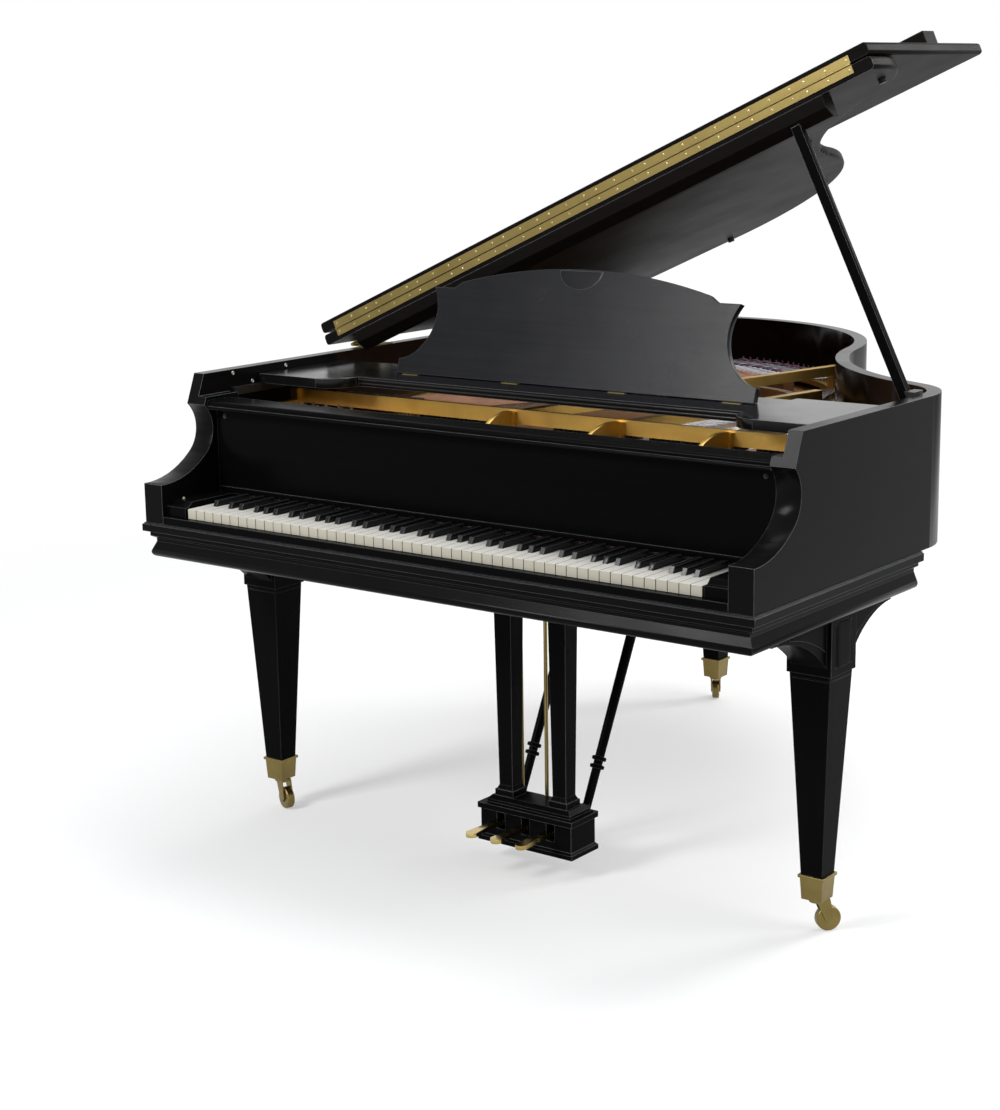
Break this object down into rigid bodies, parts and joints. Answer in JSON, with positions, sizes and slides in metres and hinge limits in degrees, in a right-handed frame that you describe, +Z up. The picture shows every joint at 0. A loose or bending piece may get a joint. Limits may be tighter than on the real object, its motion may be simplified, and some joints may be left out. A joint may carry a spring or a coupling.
{
  "type": "grand piano",
  "caption": "Grand piano in satin black with propped lid, folded front flap, music desk, full keyboard, tapered legs on brass casters and a pedal lyre.",
  "frame": {"origin": "on the floor, under the middle of the whole box with the lid open", "axes": "+X to the treble side, +Y from the player to the tail, +Z up"},
  "size_m": [1.4836, 1.663, 1.6477],
  "materials": {
    "ebony_satin": "satin black lacquer",
    "maple": "clear varnish",
    "spruce": "amber varnish",
    "plate_gold": "bronze paint",
    "steel": "polished",
    "copper_wound": "wound wire",
    "damper_black": "matte black",
    "ivory": "semi-gloss",
    "key_black": "satin",
    "brass": "aged",
    "rubber": "matte"
  },
  "bodies": {
    "case": {"outer_rim": "ebony_satin", "inner_rim": "maple", "case_beams": "maple", "keybed": "maple", "base_moulding": "ebony_satin", "key_slip": "ebony_satin", "key_blocks": "ebony_satin", "stretcher_rail": "ebony_satin", "soundboard": "spruce", "soundboard_ribs": "spruce", "bridges": "maple", "cast_plate": "plate_gold", "plate_bolts": "steel", "pinblock": "maple", "string_pins": "steel", "treble_strings": "steel", "bass_strings": "copper_wound", "spine_hinges_case": "brass", "prop_bracket": "brass", "leg_left": "ebony_satin", "leg_right": "ebony_satin", "leg_tail": "ebony_satin", "leg_ferrules": "brass", "lyre": "ebony_satin", "lyre_braces": "ebony_satin"},
    "action": {"key_frame": "maple", "action_rail": "maple"},
    "lid": {"lid_main": "ebony_satin", "lid_batten": "ebony_satin", "hinge_leaf_lid": "brass", "spine_hinges_lid": "brass", "lid_bumpers": "rubber"},
    "flap": {"lid_flap": "ebony_satin", "flap_drop_rail": "ebony_satin", "hinge_leaf_flap": "brass"},
    "prop": {"lid_prop": "ebony_satin"},
    "small_prop": {"short_prop": "ebony_satin"},
    "fall": {"fallboard": "ebony_satin"},
    "shelf": {"music_shelf": "ebony_satin", "desk_hinges": "brass"},
    "desk": {"music_desk": "ebony_satin"},
    "damper_set": {"dampers": "damper_black"},
    "keys_white_odd": {"keys_white_odd": "ivory"},
    "hammers_white_odd": {"hammers_white_odd": "maple"},
    "keys_white_even": {"keys_white_even": "ivory"},
    "hammers_white_even": {"hammers_white_even": "maple"},
    "keys_black": {"keys_black": "key_black"},
    "hammers_black": {"hammers_black": "maple"},
    "pedal_left": {"pedal_left": "brass"},
    "rod_left": {"pedal_rod_left": "brass"},
    "pedal_middle": {"pedal_middle": "brass"},
    "rod_middle": {"pedal_rod_middle": "brass"},
    "pedal_right": {"pedal_right": "brass"},
    "rod_right": {"pedal_rod_right": "brass"},
    "fork_left": {"caster_fork_left": "brass"},
    "wheel_left": {"caster_wheel_left": "brass"},
    "fork_right": {"caster_fork_right": "brass"},
    "wheel_right": {"caster_wheel_right": "brass"},
    "fork_tail": {"caster_fork_tail": "brass"},
    "wheel_tail": {"caster_wheel_tail": "brass"}
  },
  "joints": [
    {"name": "lid_hinge", "type": "hinge", "parent": "case", "child": "lid", "pos_m": [-0.72623, -0.8255, 0.983], "axis": [0, -1, 0], "range_deg": [-23.5, 0]},
    {"name": "prop_fold", "type": "hinge", "parent": "case", "child": "prop", "pos_m": [0.68077, -0.1855, 0.9745], "axis": [0.9158, -0.0275, 0.4007], "range_deg": [0, 85.44]},
    {"name": "flap_hinge", "type": "hinge", "parent": "lid", "child": "flap", "pos_m": [-0.05865, -0.2355, 1.30598], "axis": [0.9171, 0, 0.3987], "range_deg": [0, 180]},
    {"name": "short_prop_swing", "type": "hinge", "parent": "prop", "child": "small_prop", "pos_m": [0.63256, -0.18922, 1.08442], "axis": [-0.9158, 0.0275, -0.4007], "range_deg": [0, 35]},
    {"name": "fallboard_turn", "type": "hinge", "parent": "case", "child": "fall", "pos_m": [0.01477, -0.6505, 0.757], "axis": [1, 0, 0], "range_deg": [0, 90]},
    {"name": "shelf_slide", "type": "slide", "parent": "case", "child": "shelf", "axis": [0, -1, 0], "range_m": [0, 0.08]},
    {"name": "desk_fold", "type": "hinge", "parent": "shelf", "child": "desk", "pos_m": [0.01477, -0.3535, 0.9634], "axis": [1, 0, 0], "range_deg": [0, 107]},
    {"name": "action_shift", "type": "slide", "parent": "case", "child": "action", "axis": [1, 0, 0], "range_m": [0, 0.0032]},
    {"name": "damper_lift", "type": "slide", "parent": "case", "child": "damper_set", "axis": [0, 0, 1], "range_m": [0, 0.0063]},
    {"name": "keys_white_odd_dip", "type": "hinge", "parent": "action", "child": "keys_white_odd", "pos_m": [0.01477, -0.5855, 0.705], "axis": [1, 0, 0], "range_deg": [0, 2.6], "stiffness_Nm_per_rad": 60, "springref_deg": -2.86},
    {"name": "hammers_white_odd_swing", "type": "hinge", "parent": "action", "child": "hammers_white_odd", "pos_m": [0.01477, -0.5075, 0.812], "axis": [1, 0, 0], "range_deg": [0, 18.21]},
    {"name": "keys_white_even_dip", "type": "hinge", "parent": "action", "child": "keys_white_even", "pos_m": [0.01477, -0.5855, 0.705], "axis": [1, 0, 0], "range_deg": [0, 2.6], "stiffness_Nm_per_rad": 60, "springref_deg": -2.86},
    {"name": "hammers_white_even_swing", "type": "hinge", "parent": "action", "child": "hammers_white_even", "pos_m": [0.01477, -0.5075, 0.812], "axis": [1, 0, 0], "range_deg": [0, 18.21]},
    {"name": "keys_black_dip", "type": "hinge", "parent": "action", "child": "keys_black", "pos_m": [0.01477, -0.5855, 0.705], "axis": [1, 0, 0], "range_deg": [0, 2.6], "stiffness_Nm_per_rad": 60, "springref_deg": -2.86},
    {"name": "hammers_black_swing", "type": "hinge", "parent": "action", "child": "hammers_black", "pos_m": [0.01477, -0.5075, 0.812], "axis": [1, 0, 0], "range_deg": [0, 18.21]},
    {"name": "pedal_left_dip", "type": "hinge", "parent": "case", "child": "pedal_left", "pos_m": [-0.03323, -0.4855, 0.09], "axis": [1, 0, 0], "range_deg": [0, 4.5], "stiffness_Nm_per_rad": 40, "springref_deg": -2.86},
    {"name": "rod_left_slide", "type": "slide", "parent": "case", "child": "rod_left", "axis": [0, 0, 1], "range_m": [0, 0.0034]},
    {"name": "pedal_middle_dip", "type": "hinge", "parent": "case", "child": "pedal_middle", "pos_m": [0.02877, -0.4855, 0.09], "axis": [1, 0, 0], "range_deg": [0, 4.5], "stiffness_Nm_per_rad": 40, "springref_deg": -2.86},
    {"name": "rod_middle_slide", "type": "slide", "parent": "case", "child": "rod_middle", "axis": [0, 0, 1], "range_m": [0, 0.0034]},
    {"name": "pedal_right_dip", "type": "hinge", "parent": "case", "child": "pedal_right", "pos_m": [0.09077, -0.4855, 0.09], "axis": [1, 0, 0], "range_deg": [0, 4.5], "stiffness_Nm_per_rad": 40, "springref_deg": -2.86},
    {"name": "rod_right_slide", "type": "slide", "parent": "case", "child": "rod_right", "axis": [0, 0, 1], "range_m": [0, 0.0034]},
    {"name": "swivel_left", "type": "hinge", "parent": "case", "child": "fork_left", "pos_m": [-0.65123, -0.5115, 0.065], "axis": [0, 0, 1], "continuous": true},
    {"name": "roll_left", "type": "hinge", "parent": "fork_left", "child": "wheel_left", "pos_m": [-0.63056, -0.51902, 0.024], "axis": [0.342, 0.9397, 0], "continuous": true},
    {"name": "swivel_right", "type": "hinge", "parent": "case", "child": "fork_right", "pos_m": [0.66677, -0.4675, 0.065], "axis": [0, 0, 1], "continuous": true},
    {"name": "roll_right", "type": "hinge", "parent": "fork_right", "child": "wheel_right", "pos_m": [0.68091, -0.45065, 0.024], "axis": [-0.766, 0.6428, 0], "continuous": true},
    {"name": "swivel_tail", "type": "hinge", "parent": "case", "child": "fork_tail", "pos_m": [-0.29624, 0.7345, 0.065], "axis": [0, 0, 1], "continuous": true},
    {"name": "roll_tail", "type": "hinge", "parent": "fork_tail", "child": "wheel_tail", "pos_m": [-0.3069, 0.75374, 0.024], "axis": [-0.8746, -0.4848, 0], "continuous": true}
  ],
  "couplings": [
    {"joint": "prop_fold", "follows": "lid_hinge", "ratio": -3.6355},
    {"joint": "hammers_white_odd_swing", "follows": "keys_white_odd_dip", "ratio": 7},
    {"joint": "hammers_white_even_swing", "follows": "keys_white_even_dip", "ratio": 7},
    {"joint": "hammers_black_swing", "follows": "keys_black_dip", "ratio": 7},
    {"joint": "rod_left_slide", "follows": "pedal_left_dip", "m_per_rad": 0.042},
    {"joint": "rod_middle_slide", "follows": "pedal_middle_dip", "m_per_rad": 0.042},
    {"joint": "rod_right_slide", "follows": "pedal_right_dip", "m_per_rad": 0.042},
    {"joint": "damper_lift", "follows": "pedal_right_dip", "m_per_rad": 0.078},
    {"joint": "action_shift", "follows": "pedal_left_dip", "m_per_rad": 0.039}
  ]
}
